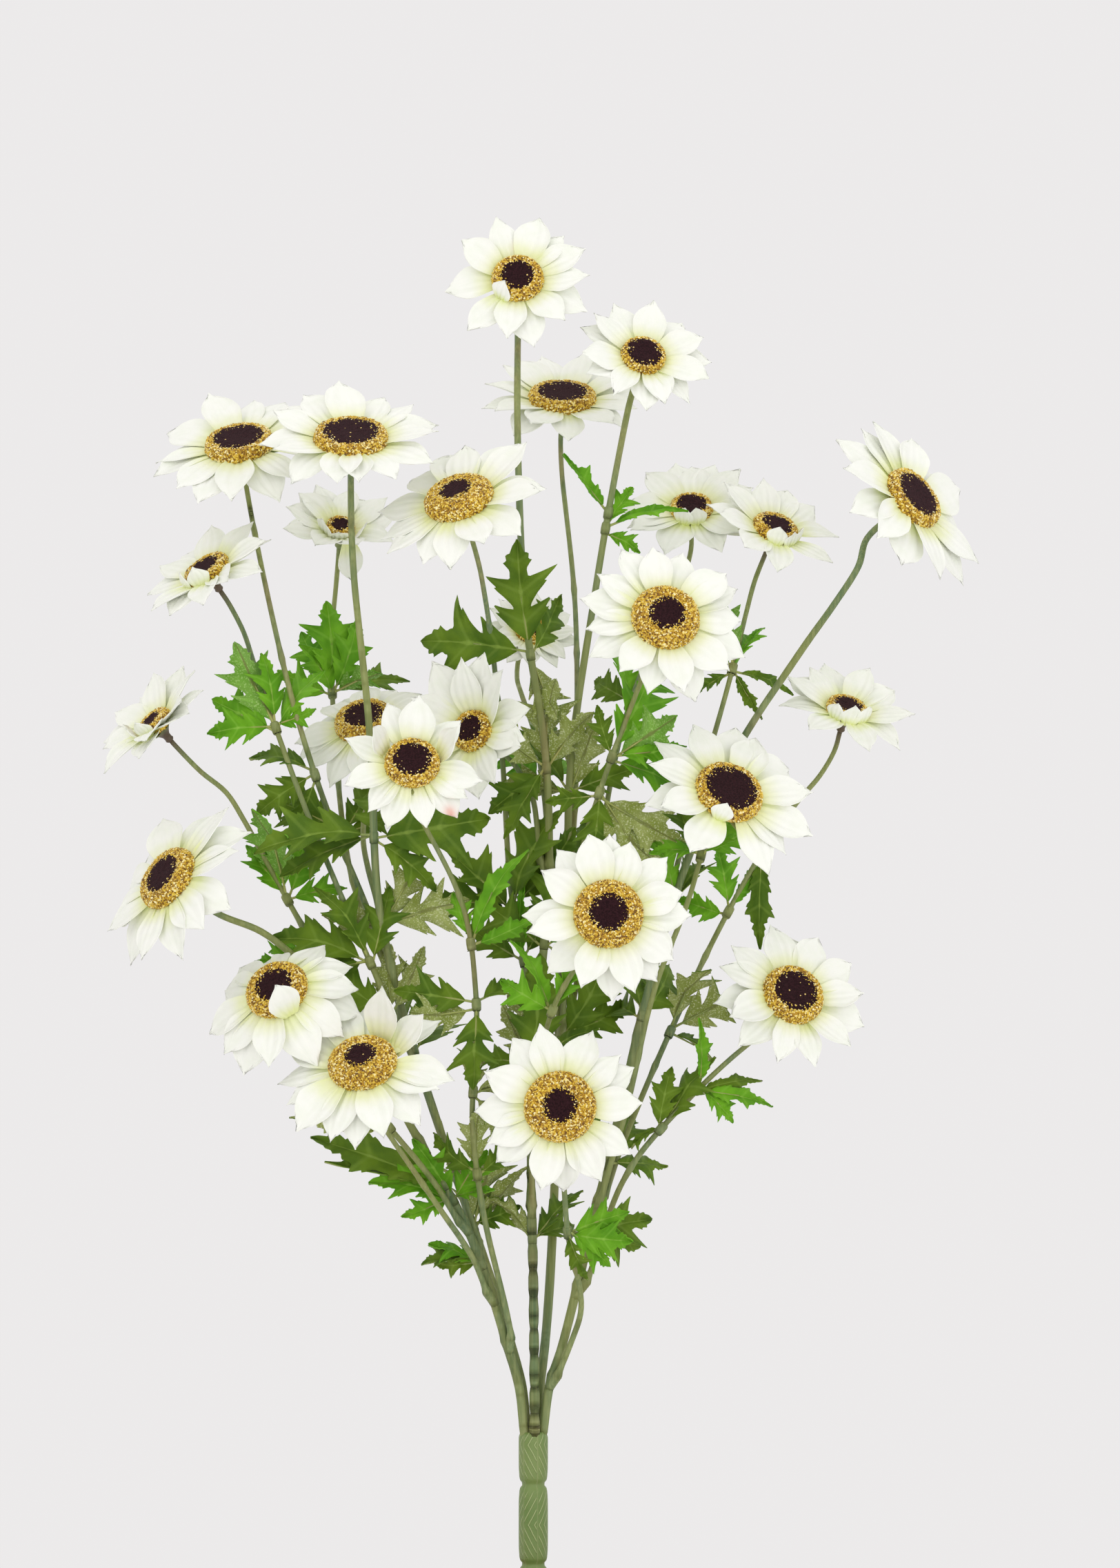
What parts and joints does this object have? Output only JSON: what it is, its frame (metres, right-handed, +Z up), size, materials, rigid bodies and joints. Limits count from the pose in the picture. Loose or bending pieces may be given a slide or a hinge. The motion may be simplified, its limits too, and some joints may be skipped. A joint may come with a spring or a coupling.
{
  "type": "potted artificial daisy bush",
  "caption": "Tall bush of white daisy-like flowers with gold rings and dark eyes on branching green stems, rising from one trunk in a plain round clay pot.",
  "frame": {"origin": "centre of the pot's underside, where it rests on a surface", "axes": "+Z up along the trunk, -Y towards the side that the flowers face, +X to the right of someone who faces them"},
  "size_m": [0.3899, 0.2099, 0.7597],
  "materials": {
    "clay": "unglazed terracotta, matt and slightly mottled",
    "soil": "dark crumbly potting soil",
    "stem_plastic": "moulded olive green plastic with fine lengthwise ribs",
    "petal_fabric": "cream white satin fabric pressed with lengthwise ribs",
    "leaf_fabric": "printed green woven fabric, paler beneath"
  },
  "bodies": {
    "root": {"pot": "clay", "soil": "soil", "trunk": "stem_plastic", "main_stem_left_front": "stem_plastic", "main_stem_left_back": "stem_plastic", "main_stem_centre": "stem_plastic", "main_stem_centre_right": "stem_plastic", "main_stem_right": "stem_plastic", "flower_head_01": "petal_fabric", "flower_head_02": "petal_fabric", "flower_head_03": "petal_fabric", "flower_stem_03": "stem_plastic", "flower_head_04": "petal_fabric", "flower_stem_04": "stem_plastic", "flower_head_05": "petal_fabric", "flower_head_06": "petal_fabric", "flower_stem_06": "stem_plastic", "flower_head_07": "petal_fabric", "flower_stem_07": "stem_plastic", "flower_head_08": "petal_fabric", "flower_stem_08": "stem_plastic", "flower_head_09": "petal_fabric", "flower_stem_09": "stem_plastic", "flower_head_10": "petal_fabric", "flower_stem_10": "stem_plastic", "flower_head_11": "petal_fabric", "flower_head_12": "petal_fabric", "flower_stem_12": "stem_plastic", "flower_head_13": "petal_fabric", "flower_stem_13": "stem_plastic", "flower_head_14": "petal_fabric", "flower_stem_14": "stem_plastic", "flower_head_15": "petal_fabric", "flower_stem_15": "stem_plastic", "flower_head_16": "petal_fabric", "flower_stem_16": "stem_plastic", "flower_head_17": "petal_fabric", "flower_stem_17": "stem_plastic", "flower_head_18": "petal_fabric", "flower_stem_18": "stem_plastic", "flower_head_19": "petal_fabric", "flower_stem_19": "stem_plastic", "flower_head_20": "petal_fabric", "flower_head_21": "petal_fabric", "flower_stem_21": "stem_plastic", "flower_head_22": "petal_fabric", "flower_stem_22": "stem_plastic", "flower_head_23": "petal_fabric", "flower_stem_23": "stem_plastic", "flower_head_24": "petal_fabric", "flower_stem_24": "stem_plastic", "flower_head_25": "petal_fabric", "flower_stem_25": "stem_plastic", "leaf_whorl_left_low": "leaf_fabric", "leaf_whorl_left_middle": "leaf_fabric", "leaf_whorl_left_high": "leaf_fabric", "leaf_whorl_back_high": "leaf_fabric", "leaf_whorl_centre_high": "leaf_fabric", "leaf_whorl_centre_low": "leaf_fabric", "leaf_whorl_right_low": "leaf_fabric"}
  },
  "joints": []
}
